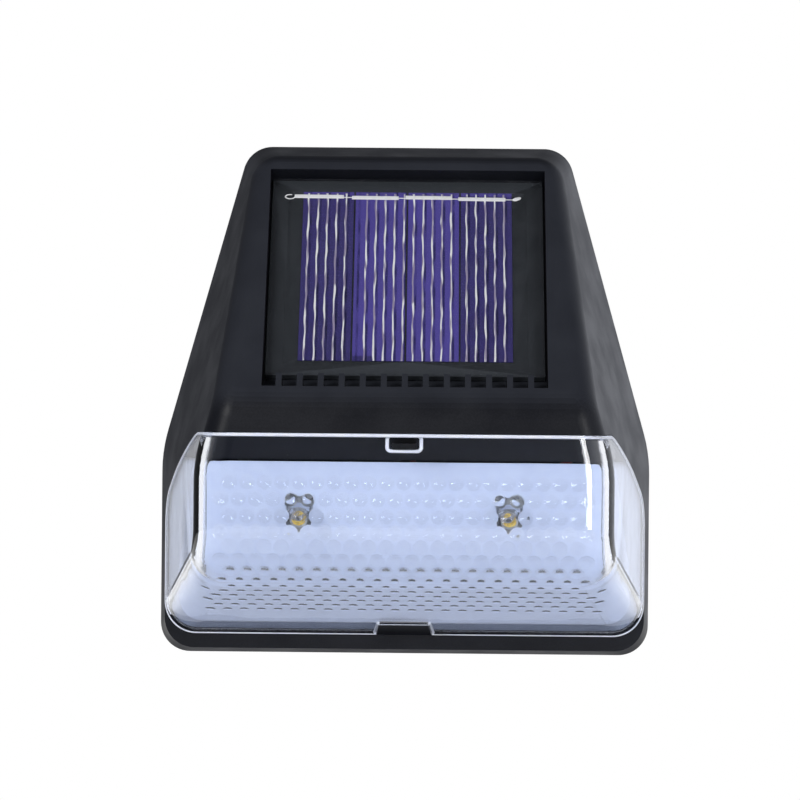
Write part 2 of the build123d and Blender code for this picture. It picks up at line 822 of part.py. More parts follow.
board_front = board_distance + board_thickness
main_board_screws = small_screws(board_screw_spots, board_front)
main_board_screws.label = "main_board_screws"
export_step(main_board_screws, "parts/main_board_screws.step")

with BuildPart() as switch_body:
    with BuildSketch(Plane.XZ.offset(board_distance - switch_depth)):
        with Locations((0, bottom + switch_height)):
            Rectangle(switch_length, switch_width)
    extrude(amount=switch_depth)
    with BuildSketch(Plane.XZ.offset(board_distance - switch_depth)):
        with Locations((0, bottom + switch_height)):
            Rectangle(
                knob_length + switch_travel + 2 * knob_clearance,
                knob_width + 2 * knob_clearance,
            )
    extrude(amount=knob_base + knob_clearance, mode=Mode.SUBTRACT)
switch_body.part.label = "switch_body"
export_step(switch_body.part, "parts/switch_body.step")

with BuildPart() as switch_knob:
    knob_top = board_distance - switch_depth + knob_base
    with BuildSketch(Plane.XZ.offset(knob_setback)):
        with Locations((-switch_travel / 2, bottom + switch_height)):
            Rectangle(knob_length, knob_width)
    extrude(amount=knob_top - knob_setback)
    # grip grooves
    with BuildSketch(Plane.XZ.offset(knob_setback)):
        with Locations((-switch_travel / 2, bottom + switch_height)):
            with GridLocations(knob_groove_pitch, 1, knob_groove_count, 1):
                Rectangle(knob_groove, knob_width)
    extrude(amount=knob_groove, mode=Mode.SUBTRACT)
switch_knob.part.label = "switch_knob"
export_step(switch_knob.part, "parts/switch_knob.step")

with BuildPart() as control_chip:
    with BuildSketch(Plane.XZ.offset(board_front)):
        with Locations((0, bottom + switch_height)):
            Rectangle(chip_length, chip_width)
    extrude(amount=chip_height)
control_chip.part.label = "control_chip"
export_step(control_chip.part, "parts/control_chip.step")

with BuildPart() as capacitor:
    with BuildSketch(Plane.XZ.offset(board_front)):
        with Locations((-component_spot_x, bottom + switch_height)):
            Circle(capacitor_radius)
    extrude(amount=capacitor_height)
capacitor.part.label = "capacitor"
export_step(capacitor.part, "parts/capacitor.step")

with BuildPart() as boost_coil:
    with BuildSketch(Plane.XZ.offset(board_front)):
        with Locations((component_spot_x, bottom + switch_height)):
            Circle(coil_radius)
    extrude(amount=coil_height)
boost_coil.part.label = "boost_coil"
export_step(boost_coil.part, "parts/boost_coil.step")

# ================================================================ battery
can_start = -battery_end
with BuildPart() as battery:
    with BuildSketch(Plane.YZ.offset(can_start)):
        with Locations((-battery_distance, battery_level)):
            Circle(battery_radius)
    extrude(amount=battery_length)
    fillet(battery.edges().filter_by(GeomType.CIRCLE), battery_edge_radius)
    with BuildSketch(Plane.YZ.offset(can_start + battery_length)):
        with Locations((-battery_distance, battery_level)):
            Circle(battery_nub_radius)
    extrude(amount=battery_nub_length)
battery.part.label = "battery"
export_step(battery.part, "parts/battery.step")

with BuildPart() as battery_cradle:
    trough_height = 2 * (battery_radius + battery_clearance)
    with BuildSketch(Plane.XZ.offset(cradle_distance)):
        with Locations((0, battery_level)):
            Rectangle(2 * (cradle_inner + cradle_wall), trough_height + 2 * cradle_wall)
            Rectangle(2 * (cradle_inner + cradle_wall + cradle_ear_width), cradle_ear_width)
    extrude(amount=cradle_floor)
    with BuildSketch(Plane.XZ.offset(cradle_distance + cradle_floor)):
        with Locations((0, battery_level)):
            Rectangle(2 * (cradle_inner + cradle_wall), trough_height + 2 * cradle_wall)
            Rectangle(2 * cradle_inner, trough_height, mode=Mode.SUBTRACT)
    extrude(amount=cradle_depth - cradle_floor)
    with BuildSketch(Plane.XZ.offset(cradle_distance)):
        with Locations(*ear_spots):
            Circle(small_screw_radius)
    extrude(amount=cradle_floor, mode=Mode.SUBTRACT)
battery_cradle.part.label = "battery_cradle"
export_step(battery_cradle.part, "parts/battery_cradle.step")

cradle_screws = small_screws(ear_spots, cradle_distance + cradle_floor)
cradle_screws.label = "cradle_screws"
export_step(cradle_screws, "parts/cradle_screws.step")

contact_foot = cradle_distance + cradle_floor
contact_top = cradle_distance + cradle_depth + contact_stand
for name, sign in (("plus", 1), ("minus", -1)):
    wall_x = sign * cradle_inner
    leaf_x = sign * (cradle_inner - contact_thickness)
    with BuildPart() as contact:
        with BuildSketch(Plane.XY.offset(battery_level - contact_width / 2)):
            Polygon(
                (wall_x, -contact_foot),
                (wall_x, -contact_top),
                (leaf_x, -contact_top),
                (leaf_x, -contact_foot - contact_thickness),
                (sign * (battery_end + contact_thickness), -battery_distance),
                (sign * battery_end, -battery_distance),
                (sign * (cradle_inner - 2 * contact_thickness), -contact_foot),
                align=None,
            )
        extrude(amount=contact_width)
    contact.part.label = f"contact_{name}"
    export_step(contact.part, f"parts/contact_{name}.step")

# ================================================================ leads

def lead(name, points):
    """A round lead along straight runs, each corner rounded as far as its two runs allow."""
    vectors = [Vector(*point) for point in points]
    radii = []
    for before, corner, after in zip(vectors, vectors[1:], vectors[2:]):
        first = corner - before
        second = after - corner
        half_turn = radians(first.get_angle(second)) / 2
        radii.append(lead_rounding * min(first.length, second.length) / tan(half_turn))
    with BuildPart() as tube:
        with BuildLine() as route:
            FilletPolyline(*points, radius=radii)
        with BuildSketch(Plane(origin=vectors[0], z_dir=vectors[1] - vectors[0])):
            Circle(wire_radius)
        sweep(path=route.wires()[0])
    full_volume = pi * wire_radius**2 * route.wires()[0].length
    rounded = [round(radius, 1) for radius in radii]
    print(name, "bend radii", rounded, "volume share", round(tube.part.volume / full_volume, 4))
    tube.part.label = name
    export_step(tube.part, f"parts/{name}.step")


def off_panel(x, depth):
    """A point straight behind the middle of the panel, measured in from the slope."""
    return tuple(slope_plane.from_local_coords((x, panel_middle, -depth)))


def off_led_board(x, depth):
    """A point straight behind the light emitters' board, measured in from the reflector."""
    return tuple(reflector_plane.from_local_coords((x, 0, -depth)))


panel_back = recess_floor - pad_thickness
led_board_back = board_face + led_board_thickness
lead_row = switch_height + board_height / 2 - lead_row_margin
front_of_battery = battery_distance + battery_radius
below_battery = battery_height - battery_radius - cradle_wall

for colour, sign in (("red", 1), ("black", -1)):
    x = sign * panel_lead_x
    lead(
        f"panel_lead_{colour}",
        [
            off_panel(x, panel_back),
            off_panel(x, panel_back + panel_lead_tail),
            place(x, front_of_battery + lead_room, battery_height + lead_drop),
            place(x, front_of_battery + lead_room, below_battery),
            place(x, board_front + lead_drop, lead_row),
            place(x, board_front, lead_row),
        ],
    )
    x = sign * battery_lead_x
    solder_spot = contact_top - wire_radius - contact_thickness / 2
    beside_cradle = sign * (cradle_inner + lead_drop)
    lead(
        f"battery_lead_{colour}",
        [
            place(sign * cradle_inner, solder_spot, battery_height),
            place(beside_cradle, solder_spot, battery_height),
            place(beside_cradle, solder_spot, below_battery - lead_drop),
            place(x, board_front + lead_drop, lead_row),
            place(x, board_front, lead_row),
        ],
    )
    start_x = sign * led_lead_start_x
    end_x = sign * led_lead_end_x
    lead(
        f"led_lead_{colour}",
        [
            off_led_board(start_x, led_board_back),
            off_led_board(start_x, led_board_back + led_lead_tail),
            place(end_x, board_front + lead_drop, lead_row),
            place(end_x, board_front, lead_row),
        ],
    )
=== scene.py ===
# %% [markdown]
# # A solar fence light
# The light is a black moulded wedge with a small solar panel on its slope and a clear lens
# below. The solid model gives every part its true size and place, so it could be drawn again
# from scratch, but loading it as a fixed frame is safer: nothing can slip out of place.

# %% Load the frame
import json
import random
from math import cos, hypot, pi, radians, sin

import bmesh
import bpy
from mathutils import Matrix, Vector
from mathutils.bvhtree import BVHTree


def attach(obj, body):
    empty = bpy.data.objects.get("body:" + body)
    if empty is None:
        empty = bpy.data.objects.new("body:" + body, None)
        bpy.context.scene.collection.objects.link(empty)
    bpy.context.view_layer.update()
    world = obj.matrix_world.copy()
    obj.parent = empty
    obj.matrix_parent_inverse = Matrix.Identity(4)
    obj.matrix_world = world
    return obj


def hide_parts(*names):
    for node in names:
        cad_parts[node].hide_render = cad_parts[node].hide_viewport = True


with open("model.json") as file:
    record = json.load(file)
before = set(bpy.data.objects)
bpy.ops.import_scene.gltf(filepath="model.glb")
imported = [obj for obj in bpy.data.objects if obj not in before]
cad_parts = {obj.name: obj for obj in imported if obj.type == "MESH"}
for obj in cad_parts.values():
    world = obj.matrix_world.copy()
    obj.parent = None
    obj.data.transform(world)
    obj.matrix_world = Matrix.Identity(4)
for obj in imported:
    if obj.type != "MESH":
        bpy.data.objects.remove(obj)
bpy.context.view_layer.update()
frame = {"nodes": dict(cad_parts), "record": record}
nodes = frame["nodes"]
MM = 0.001

# %% [markdown]
# ## The camera
# A product photo like this is taken from straight ahead with a long lens, so the sides hardly
# converge. The camera could be placed by eye, but its place was worked out from the corners of
# the light: a turn of half a degree and a tilt of half a degree are enough to match them.

# %% Camera
YAW, PITCH, ROLL = radians(-0.513), radians(-0.033), radians(0.517)
DISTANCE = 607.4 * MM
AIM = Vector((-1.037, -22.0, 0.11)) * MM
ahead = Vector((sin(YAW) * cos(PITCH), cos(YAW) * cos(PITCH), sin(PITCH)))
level_right = Vector((cos(YAW), -sin(YAW), 0))
level_up = level_right.cross(ahead)
camera_right = level_right * cos(ROLL) + level_up * sin(ROLL)
camera_up = level_up * cos(ROLL) - level_right * sin(ROLL)

camera_data = bpy.data.cameras.new("camera")
camera_data.lens = 143.65
camera_data.clip_start = 0.05
camera = bpy.data.objects.new("camera", camera_data)
bpy.context.scene.collection.objects.link(camera)
turn = Matrix((camera_right, camera_up, -ahead)).transposed()
camera.matrix_world = Matrix.Translation(AIM - ahead * DISTANCE) @ turn.to_4x4()
bpy.context.scene.camera = camera
print("camera at", [round(value, 4) for value in camera.matrix_world.translation])

# %% [markdown]
# ## Writing a finish
# A finish is a net of shader nodes. Nodes could be wired one by one, but sums are easier to
# read as sums. The class Amount wraps one output, so that `1 - rub * 0.3` adds the Math nodes
# by itself, and the class Finish makes any other node from its type, settings and inputs.

# %% Amount: shader sums as Python sums


class Amount:
    """A number that changes over a surface."""

    def __init__(self, tree, socket):
        self.tree, self.socket = tree, socket

    def maths(self, operation, *values):
        node = self.tree.nodes.new("ShaderNodeMath")
        node.operation = operation
        for place, value in zip(node.inputs, values):
            if isinstance(value, Amount):
                self.tree.links.new(value.socket, place)
            else:
                place.default_value = value
        return Amount(self.tree, node.outputs[0])

    def __add__(self, other):
        return self.maths("ADD", self, other)

    def __sub__(self, other):
        return self.maths("SUBTRACT", self, other)

    def __rsub__(self, other):
        return self.maths("SUBTRACT", other, self)

    def __mul__(self, other):
        return self.maths("MULTIPLY", self, other)

    def __truediv__(self, other):
        return self.maths("DIVIDE", self, other)

    def __mod__(self, other):
        return self.maths("FLOORED_MODULO", self, other)

    def __gt__(self, other):
        return self.maths("GREATER_THAN", self, other)

    def __lt__(self, other):
        return self.maths("LESS_THAN", self, other)

    def __abs__(self):
        return self.maths("ABSOLUTE", self)

    def at_most(self, other):
        return self.maths("MINIMUM", self, other)

    def at_least(self, other):
        return self.maths("MAXIMUM", self, other)

    def ramp(self, low, high):
        """0 up to the low value, 1 from the high value on, and straight between them."""
        return ((self - low) / (high - low)).at_least(0.0).at_most(1.0)

    __radd__ = __add__
    __rmul__ = __mul__


# %% Finish: a material with its nodes


class Finish:
    """A material built from nodes around one main shader."""

    def __init__(self, name):
        self.material = bpy.data.materials.new(name)
        self.material.use_nodes = True
        self.tree = self.material.node_tree
        self.tree.nodes.clear()
        self.where = self.node("ShaderNodeTexCoord").outputs["Object"]

    def node(self, kind, settings=(), **sockets):
        made = self.tree.nodes.new(kind)
        for key, value in dict(settings).items():
            setattr(made, key, value)
        for key, value in sockets.items():
            self.feed(made.inputs[key.replace("_", " ")], value)
        return made

    def feed(self, place, value):
        if isinstance(value, Amount):
            value = value.socket
        if isinstance(value, bpy.types.NodeSocket):
            self.tree.links.new(value, place)
        else:
            place.default_value = value

    def amount(self, node, output=0):
        return Amount(self.tree, node.outputs[output])

    def reach(self, direction, start):
        """How far a point of the surface lies along a direction from the start."""
        away = self.node("ShaderNodeVectorMath", {"operation": "SUBTRACT"})
        self.feed(away.inputs[0], self.where)
        self.feed(away.inputs[1], start)
        along = self.node("ShaderNodeVectorMath", {"operation": "DOT_PRODUCT"})
        self.feed(along.inputs[0], away.outputs[0])
        self.feed(along.inputs[1], direction)
        return self.amount(along, "Value")

    def noise(self, size, detail=2.0, stretch=(1, 1, 1)):
        """Soft random spots of about this size in metres."""
        spread = self.node(
            "ShaderNodeMapping", Vector=self.where, Scale=[part / size for part in stretch]
        )
        cloud = self.node(
            "ShaderNodeTexNoise", Vector=spread.outputs[0], Scale=1.0, Detail=detail
        )
        return self.amount(cloud)

    def steps(self, value, low, high, start=0.0, end=1.0):
        """The value, spread from one range over another with soft ends."""
        spread = self.node("ShaderNodeMapRange", {"interpolation_type": "SMOOTHSTEP"})
        for index, part in enumerate((value, low, high, start, end)):
            self.feed(spread.inputs[index], part)
        return self.amount(spread)

    def blend(self, share, first, second):
        """A colour between two colours."""
        mixed = self.node("ShaderNodeMix", {"data_type": "RGBA"})
        for index, part in zip((0, 6, 7), (share, first, second)):
            if index and not isinstance(part, bpy.types.NodeSocket):
                part = (*part, 1.0)
            self.feed(mixed.inputs[index], part)
        return mixed.outputs[2]

    def bump(self, height, distance, strength=1.0, under=None):
        """A relief of this height in metres, over another one if there is one."""
        relief = self.node(
            "ShaderNodeBump", Height=height, Distance=distance, Strength=strength
        )
        if under is not None:
            self.feed(relief.inputs["Normal"], under)
        return relief.outputs[0]

    def surface(self, **sockets):
        """The main shader, with underscores for the spaces in its sockets' names."""
        shader = self.node("ShaderNodeBsdfPrincipled", **sockets)
        return shader.outputs[0]

    def close(self, shader):
        self.node("ShaderNodeOutputMaterial", Surface=shader)
        return self.material


# %% [markdown]
# ## Black moulded plastic
# The shell is injection moulded with a fine spark texture, so it is matt, with a soft sheen
# where the light grazes it. Bump from two sizes of noise gives the grain, and slow noise in the
# roughness gives the slight cloudiness of a real moulding. Faces that look up are lightened in
# patches with a thin pale film of painted light from above, which follows the lean of each face,
# and the drain slots under the panel are painted near black as shade. A picture of grain would
# do as well, but noise has no seams and no end of detail.

# %% The slope's own directions
SLOPE_RISE, SLOPE_RUN = 47.1, 32.0
SLOPE_TOP = Vector((0, -13.0, 46.8)) * MM
slope_normal = Vector((0, -SLOPE_RISE, SLOPE_RUN)).normalized()
slope_up = slope_normal.cross(Vector((1, 0, 0)))
COMB_START, COMB_END, COMB_HALF = 50.7 * MM, 53.6 * MM, 26.4 * MM
COMB_DEEPEST = 12.0 * MM
# A pale tint, painted light from above, for faces that lean up.
PAINTED_TOP_LIGHT = (0.027, 0.0295, 0.038)
# The near black painted into the drain slots, where shade falls.
PAINTED_SLOT_SHADE = (0.002, 0.002, 0.0022)
print("slope leans back", round(slope_up.angle(Vector((0, 0, 1))), 3), "radians")

# %% Black plastic


def slot_shade_mask(finish):
    """Painted shade: 1 deep inside the drain slots under the panel and 0 elsewhere."""
    down = finish.reach(-slope_up, SLOPE_TOP)
    deep = finish.reach(-slope_normal, SLOPE_TOP)
    across = abs(finish.reach(Vector((1, 0, 0)), SLOPE_TOP))
    inside = (down > COMB_START) * (COMB_END > down) * (COMB_HALF > across)
    return inside * (COMB_DEEPEST > deep) * finish.steps(deep, 0.25 * MM, 1.2 * MM)


def black_plastic(name, low, high, roughness, grain, sheen=0.35):
    """Matt moulded black with a spark texture of this grain in metres."""
    finish = Finish(name)
    cloud = finish.noise(9 * MM, 3.0)
    fine = finish.noise(grain, 2.0)
    coarse = finish.noise(grain * 2.6, 2.0)
    colour = finish.blend(finish.steps(fine * 0.6 + cloud * 0.4, 0.35, 0.65), low, high)
    # Painted light from above: faces that lean up get a patchy pale film, strongest half way up.
    level = finish.node("ShaderNodeNewGeometry").outputs["True Normal"]
    facing = finish.amount(finish.node("ShaderNodeSeparateXYZ", Vector=level), "Z")
    dust_and_top_light = finish.steps(facing, 0.15, 0.55) * finish.steps(facing, 0.6, 0.85, 1.0, 0.2)
    dust_and_top_light = dust_and_top_light * finish.steps(cloud, 0.2, 0.8, 0.75, 1.0)
    colour = finish.blend(dust_and_top_light, colour, PAINTED_TOP_LIGHT)
    # Painted shade: deep in the drain slots the colour goes near black, and the surface rougher.
    shade = slot_shade_mask(finish)
    colour = finish.blend(shade, colour, PAINTED_SLOT_SHADE)
    relief = finish.bump(fine * 0.6 + coarse * 0.4, grain * 0.12, 0.6)
    rough = finish.steps(cloud, 0.3, 0.7, roughness - 0.05, roughness + 0.05) + shade * 0.45
    shader = finish.surface(
        Base_Color=colour, Roughness=rough, Normal=relief, Specular_IOR_Level=sheen
    )
    return finish.close(shader)


shell_black = black_plastic(
    "shell_black",
    (0.0055, 0.0062, 0.0095),
    (0.0095, 0.0104, 0.0145),
    roughness=0.42,
    grain=0.28 * MM,
    sheen=0.2,
)
small_black = black_plastic(
    "small_black", (0.012, 0.012, 0.013), (0.02, 0.02, 0.021), roughness=0.5, grain=0.15 * MM
)
print("made", shell_black.name, small_black.name)

# %% [markdown]
# ## Clear plastics
# The lens is clear polycarbonate and the light emitters sit in clear epoxy. Glass with the
# right bend of light shows what is behind, magnified by each dimple. Cycles can't aim at a lamp
# through bent glass, so shadow rays pass straight through it: the reflector behind is then lit
# without grain in the picture. Where the wall turns under, its clean curve mirrors like a prism
# and draws a black line. The wall could be reshaped there, but the solid stays as it is, so a
# relief in the finish eases the inner side of that bend.

# %% Clear plastic
BEND_AXIS = Vector((0, -33.0, -23.3)) * MM
BEND_SPOT = Vector((0, -39.56, -31.1)) * MM
BEND_WAY = Vector((0, sin(radians(65)), -cos(radians(65))))
FOOT_WAY = Vector((0, -0.3314, -0.9435))
EASE_START, EASE_END, EASE_HEIGHT = 1.0 * MM, 6.2 * MM, 0.36 * MM
INNER_TO, OUTER_FROM = 10.6 * MM, 11.6 * MM
FLAT_TO, CORNER_FROM = 30 * MM, 41 * MM


def flatter_bend(finish, relief):
    """Eases the inner side of the bend, which would mirror like the back of a prism."""
    along = finish.reach(BEND_WAY, BEND_SPOT)
    depth = finish.reach(FOOT_WAY, BEND_AXIS)
    across = abs(finish.reach(Vector((1, 0, 0)), BEND_AXIS))
    inner = finish.steps(depth, INNER_TO, OUTER_FROM, 1.0, 0.0)
    middle = finish.steps(across, FLAT_TO, CORNER_FROM, 1.0, 0.0)
    eased = finish.steps(along, EASE_START, EASE_END) * inner * middle
    return finish.bump(eased, EASE_HEIGHT, 1.0, relief)


def clear_plastic(name, tint, roughness, bend, ripple, flattened=False):
    """See-through plastic with this index of refraction and a faint ripple in metres."""
    finish = Finish(name)
    flow = finish.noise(6 * MM, 2.0)
    relief = finish.bump(flow, ripple, 0.5)
    if flattened:
        relief = flatter_bend(finish, relief)
    glass = finish.surface(
        Base_Color=(*tint, 1),
        Roughness=roughness,
        IOR=bend,
        Transmission_Weight=1.0,
        Normal=relief,
    )
    open_air = finish.node("ShaderNodeBsdfTransparent", Color=(*tint, 1)).outputs[0]
    is_shadow = finish.node("ShaderNodeLightPath").outputs["Is Shadow Ray"]
    both = finish.node("ShaderNodeMixShader", Fac=is_shadow)
    finish.feed(both.inputs[1], glass)
    finish.feed(both.inputs[2], open_air)
    return finish.close(both.outputs[0])


lens_clear = clear_plastic("lens_clear", (0.93, 0.952, 1.0), 0.015, 1.49, 0.02 * MM, True)
dimple_clear = clear_plastic("dimple_clear", (1.0, 1.0, 1.0), 0.015, 1.49, 0.005 * MM)
epoxy_clear = clear_plastic("epoxy_clear", (0.97, 0.97, 0.97), 0.02, 1.5, 0.01 * MM)
print("made", lens_clear.name, dimple_clear.name, epoxy_clear.name)

# %% [markdown]
# ## The resin over the solar cells
# The panel is potted in clear epoxy with a flat, shiny top. Below it lies a dark laminate. As
# the resin touches the cells, a see-through shiny skin is enough, and it makes no noise.

# %% Resin and laminate
WEAVE = 0.35 * MM


def thin_resin(name):
    """A shiny skin that lets the cells show."""
    finish = Finish(name)
    dust_and_top_light = finish.noise(4 * MM, 4.0)
    shader = finish.surface(
        Base_Color=finish.blend(dust_and_top_light, (0.10, 0.11, 0.13), (0.17, 0.18, 0.20)),
        Roughness=finish.steps(dust_and_top_light, 0.3, 0.8, 0.06, 0.16),
        Alpha=finish.steps(dust_and_top_light, 0.3, 0.8, 0.05, 0.09),
        Coat_Weight=0.0,
    )
    return finish.close(shader)


def laminate(name):
    """Dark board under the cells, with a faint weave."""
    finish = Finish(name)
    upright = finish.noise(WEAVE, 1.0, (1, 1, 0.25))
    level = finish.noise(WEAVE, 1.0, (0.25, 1, 1))
    weave = upright * level
    thread = finish.steps(weave, 0.15, 0.4)
    colour = finish.blend(thread, (0.032, 0.037, 0.043), (0.040, 0.045, 0.052))
    shader = finish.surface(
        Base_Color=colour, Roughness=0.35, Normal=finish.bump(weave, 0.02 * MM, 0.3)
    )
    return finish.close(shader)


resin_skin = thin_resin("resin_skin")
panel_dark = laminate("panel_dark")
print("made", resin_skin.name, panel_dark.name)

# %% [markdown]
# ## The solar cells
# Each cell is a strip of blue-violet silicon with five silver lines printed on it, and a darker
# stripe runs beside each line. The second cell lies the other way round, which moves its
# lines. The stripes repeat at a fixed step across a cell, so a remainder of the place across
# gives them, and noise breaks them up along the strip.

# %% Cell strips
CELL_PITCH = 10.1 * MM
CELL_WIDTH = 9.75 * MM
LINE_PITCH = 1.79 * MM
LINE_START = 1.10 * MM
STRIPE_SHIFT = 0.42 * MM
TURNED_CELL, TURNED_SHIFT = 1, 1.05 * MM
CELLS_LEFT = -2 * CELL_PITCH + (CELL_PITCH - CELL_WIDTH) / 2


def silicon(name):
    """Blue-violet silicon with a darker stripe to the right of each printed line."""
    finish = Finish(name)
    across = finish.amount(finish.node("ShaderNodeSeparateXYZ", Vector=finish.where), "X")
    from_left = across - CELLS_LEFT
    turned = (from_left > TURNED_CELL * CELL_PITCH) * (from_left < (TURNED_CELL + 1) * CELL_PITCH)
    in_cell = from_left % CELL_PITCH - turned * TURNED_SHIFT
    past_stripe = in_cell - LINE_START - STRIPE_SHIFT
    beside = abs((past_stripe + LINE_PITCH / 2) % LINE_PITCH - LINE_PITCH / 2)
    stripe = 1 - finish.steps(beside, 0.1 * MM, 0.34 * MM)
    patches = finish.noise(3 * MM, 2.0, (3, 1, 0.5))
    depth = stripe * finish.steps(patches, 0.35, 0.65, 0.25, 1.0)
    drift = finish.steps(finish.noise(12 * MM, 1.0), 0.35, 0.65)
    tone = finish.blend(drift, (0.08, 0.058, 0.33), (0.088, 0.065, 0.36))
    tone = finish.blend(depth, tone, (0.014, 0.008, 0.105))
    crystals = finish.node("ShaderNodeTexVoronoi", Vector=finish.where, Scale=900.0)
    rough = finish.steps(finish.amount(crystals, "Distance"), 0.0, 0.6, 0.28, 0.4)
    shader = finish.surface(Base_Color=tone, Roughness=rough, Coat_Weight=0.0)
    return finish.close(shader)


cell_violet = silicon("cell_violet")
print("stripes every", round(LINE_PITCH / MM, 2), "mm")

# %% [markdown]
# ## Metals
# The printed silver is pale and slightly grainy, with glints painted along it, and the screws
# and contacts are bright steel with fine scratches. Both are metal shaders with noise stretched
# one way for the scratches.

# %% Metals


def metal(name, colour, roughness, scratch, stretch=(1, 1, 12)):
    """Bright metal with fine scratches of this width in metres."""
    finish = Finish(name)
    lines = finish.noise(scratch, 2.0, stretch)
    spots = finish.noise(2.5 * MM, 3.0)
    worn = lines * 0.5 + spots * 0.5
    dull = tuple(part * 0.72 for part in colour)
    shader = finish.surface(
        Base_Color=finish.blend(finish.steps(spots, 0.35, 0.7), colour, dull),
        Metallic=1.0,
        Roughness=finish.steps(worn, 0.3, 0.7, roughness - 0.08, roughness + 0.1),
        Normal=finish.bump(lines, scratch * 0.1, 0.3),
    )
    return finish.close(shader)


def printed_silver(name):
    """Fired silver paste, its glints painted: white patches along it, lavender grey between."""
    finish = Finish(name)
    along = finish.noise(5 * MM, 1.0, (9, 1, 1))
    # Where a glint is painted on the line: white, with painted lavender reflection between.
    bright = finish.steps(along, 0.42, 0.58)
    shader = finish.surface(
        Base_Color=finish.blend(bright, (0.33, 0.28, 0.42), (1.0, 1.0, 1.0)),
        Roughness=0.5,
        Metallic=finish.steps(along, 0.3, 0.7, 0.05, 0.2),
    )
    return finish.close(shader)


def solder(name):
    """Tinned copper strip: bright, with soft lumps."""
    finish = Finish(name)
    lumps = finish.noise(0.9 * MM, 2.0)
    shiny = finish.steps(lumps, 0.3, 0.6)
    shader = finish.surface(
        Base_Color=finish.blend(shiny, (0.93, 0.93, 0.93), (1.0, 1.0, 1.0)),
        Roughness=finish.steps(lumps, 0.3, 0.7, 0.3, 0.5),
        Metallic=0.05,
        Normal=finish.bump(lumps, 0.05 * MM, 0.6),
    )
    return finish.close(shader)


steel = metal("steel", (0.62, 0.62, 0.64), 0.28, 0.12 * MM)
tinned = metal("tinned", (0.80, 0.79, 0.77), 0.25, 0.08 * MM)
silver_lines = printed_silver("silver_lines")
solder_bright = solder("solder_bright")
print("made", steel.name, tinned.name, silver_lines.name, solder_bright.name)

# %% [markdown]
# ## Everything else inside
# The reflector is satin white plastic. Boards, sleeves, rubber and leads are plain mouldings
# with a tint, so one small recipe serves them all, with its own colours and grain for each.

# %% Plain mouldings


def moulding(name, colour, second, roughness, grain, shine=0.5, relief=0.08):
    """Plastic, rubber or varnish in two close colours with a fine grain in metres."""
    finish = Finish(name)
    cloud = finish.noise(grain * 12, 3.0)
    fine = finish.noise(grain, 2.0)
    shader = finish.surface(
        Base_Color=finish.blend(finish.steps(cloud, 0.35, 0.65), colour, second),
        Roughness=finish.steps(cloud, 0.3, 0.7, roughness - 0.04, roughness + 0.06),
        Specular_IOR_Level=shine,
        Normal=finish.bump(fine, grain * relief, 0.5),
    )
    return finish.close(shader)


finishes = {
    "black_shell": shell_black,
    "black_back": shell_black,
    "clear_lens": lens_clear,
    # The pale bead along the lens edge is painted glow.
    "lens_edge": moulding("painted_edge_glow", (0.86, 0.89, 1.0), (0.93, 0.95, 1.0), 0.4, 0.2 * MM),
    "white_reflector": moulding(
        "reflector_white", (0.58, 0.65, 0.825), (0.61, 0.68, 0.845), 0.32, 0.2 * MM
    ),
    "led_epoxy": epoxy_clear,
    "led_phosphor": moulding("phosphor", (0.85, 0.58, 0.09), (0.92, 0.68, 0.16), 0.7, 0.05 * MM),
    "led_metal": metal("cup_silver", (0.93, 0.93, 0.92), 0.42, 0.1 * MM),
    "board_green": moulding("mask_green", (0.01, 0.11, 0.04), (0.015, 0.14, 0.05), 0.25, 0.2 * MM),
    "board_white": moulding("mask_white", (0.70, 0.71, 0.69), (0.76, 0.77, 0.75), 0.3, 0.2 * MM),
    "screw_steel": steel,
    "chip_black": small_black,
    "resistor_black": small_black,
    "capacitor_sleeve": moulding("sleeve_navy", (0.01, 0.015, 0.05), (0.015, 0.02, 0.07), 0.25, 0.1 * MM),
    "coil_core": moulding("ferrite", (0.05, 0.05, 0.052), (0.08, 0.08, 0.082), 0.55, 0.08 * MM),
    "panel_base": panel_dark,
    "panel_cells": cell_violet,
    "panel_silver": solder_bright,
    "panel_resin": resin_skin,
    "foam_pad": moulding("foam", (0.02, 0.02, 0.02), (0.035, 0.035, 0.035), 0.9, 0.25 * MM, 0.2, 0.3),
    "gasket_rubber": moulding("gasket", (0.016, 0.016, 0.017), (0.024, 0.024, 0.025), 0.7, 0.1 * MM, 0.3),
    "battery_sleeve": moulding("sleeve_green", (0.02, 0.19, 0.06), (0.03, 0.23, 0.08), 0.22, 0.15 * MM),
    "contact_metal": tinned,
    "cradle_black": small_black,
    "switch_case": small_black,
    "switch_knob": small_black,
    "lead_red": moulding("lead_red", (0.16, 0.007, 0.006), (0.2, 0.01, 0.008), 0.4, 0.1 * MM),
    "lead_black": moulding("lead_black", (0.012, 0.012, 0.012), (0.02, 0.02, 0.02), 0.4, 0.1 * MM),
}
for entry in frame["record"]["subparts"]:
    for place in nodes[entry["node"]].material_slots:
        place.material = finishes[entry["material_slot"]]
print(len(finishes), "finishes on", len(nodes), "nodes")

# %% [markdown]
# ## Working by hand
# New pieces are shaped the way a modeller would: add a simple form, go into edit mode, select
# faces by their place and pull them into shape. These helpers keep that short. An operator
# works on everything that is selected, so all else is let go first.

# %% Helpers for shaping


def only(piece):
    """Selects one piece and nothing else."""
    if bpy.context.object and bpy.context.object.mode != "OBJECT":
        bpy.ops.object.mode_set(mode="OBJECT")
    bpy.ops.object.select_all(action="DESELECT")
    piece.hide_set(False)
    piece.select_set(True)
    bpy.context.view_layer.objects.active = piece
    return piece


